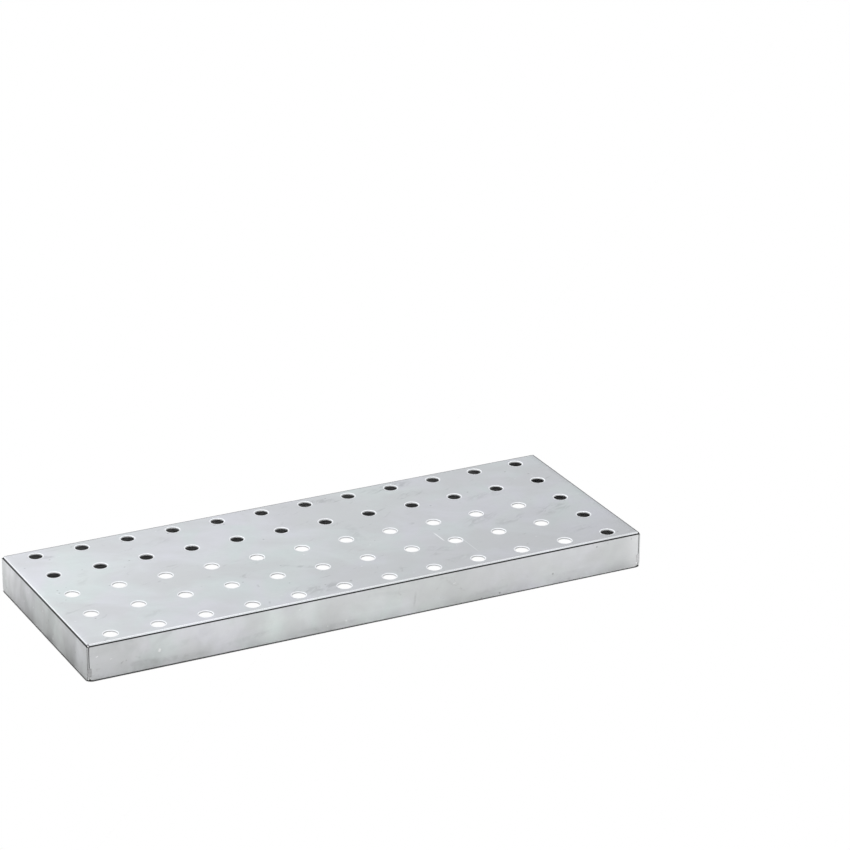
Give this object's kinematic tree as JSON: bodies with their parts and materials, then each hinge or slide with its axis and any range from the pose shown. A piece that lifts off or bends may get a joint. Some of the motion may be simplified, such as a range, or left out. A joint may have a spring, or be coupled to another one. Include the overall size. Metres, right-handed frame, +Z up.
{
  "type": "scaffold plank",
  "caption": "Short perforated steel deck plank: an inverted shallow tray folded from galvanised sheet, with welded corners and flat cross ribs under the deck.",
  "frame": {"origin": "middle of the footprint, on the plane of the lower rims", "axes": "+X along the plank's length, -Y its front long side, +Z up through the deck"},
  "size_m": [0.8, 0.3006, 0.05],
  "materials": {
    "galvanised_sheet": "galvanised sheet, satin, faintly mottled, with light handling marks",
    "ground_weld": "weld ground flush and touched up with zinc, matt grey",
    "galvanised_bar": "galvanised flat bar, satin, darker than the sheet",
    "fillet_weld": "small fillet weld bead, rippled, dull grey"
  },
  "bodies": {
    "root": {"deck_pan": "galvanised_sheet", "corner_weld_front_left": "ground_weld", "corner_weld_front_right": "ground_weld", "corner_weld_rear_left": "ground_weld", "corner_weld_rear_right": "ground_weld", "cross_rib_left": "galvanised_bar", "cross_rib_middle": "galvanised_bar", "cross_rib_right": "galvanised_bar", "rib_weld_left_front_left": "fillet_weld", "rib_weld_left_front_right": "fillet_weld", "rib_weld_left_rear_left": "fillet_weld", "rib_weld_left_rear_right": "fillet_weld", "rib_weld_middle_front_left": "fillet_weld", "rib_weld_middle_front_right": "fillet_weld", "rib_weld_middle_rear_left": "fillet_weld", "rib_weld_middle_rear_right": "fillet_weld", "rib_weld_right_front_left": "fillet_weld", "rib_weld_right_front_right": "fillet_weld", "rib_weld_right_rear_left": "fillet_weld", "rib_weld_right_rear_right": "fillet_weld"}
  },
  "joints": []
}
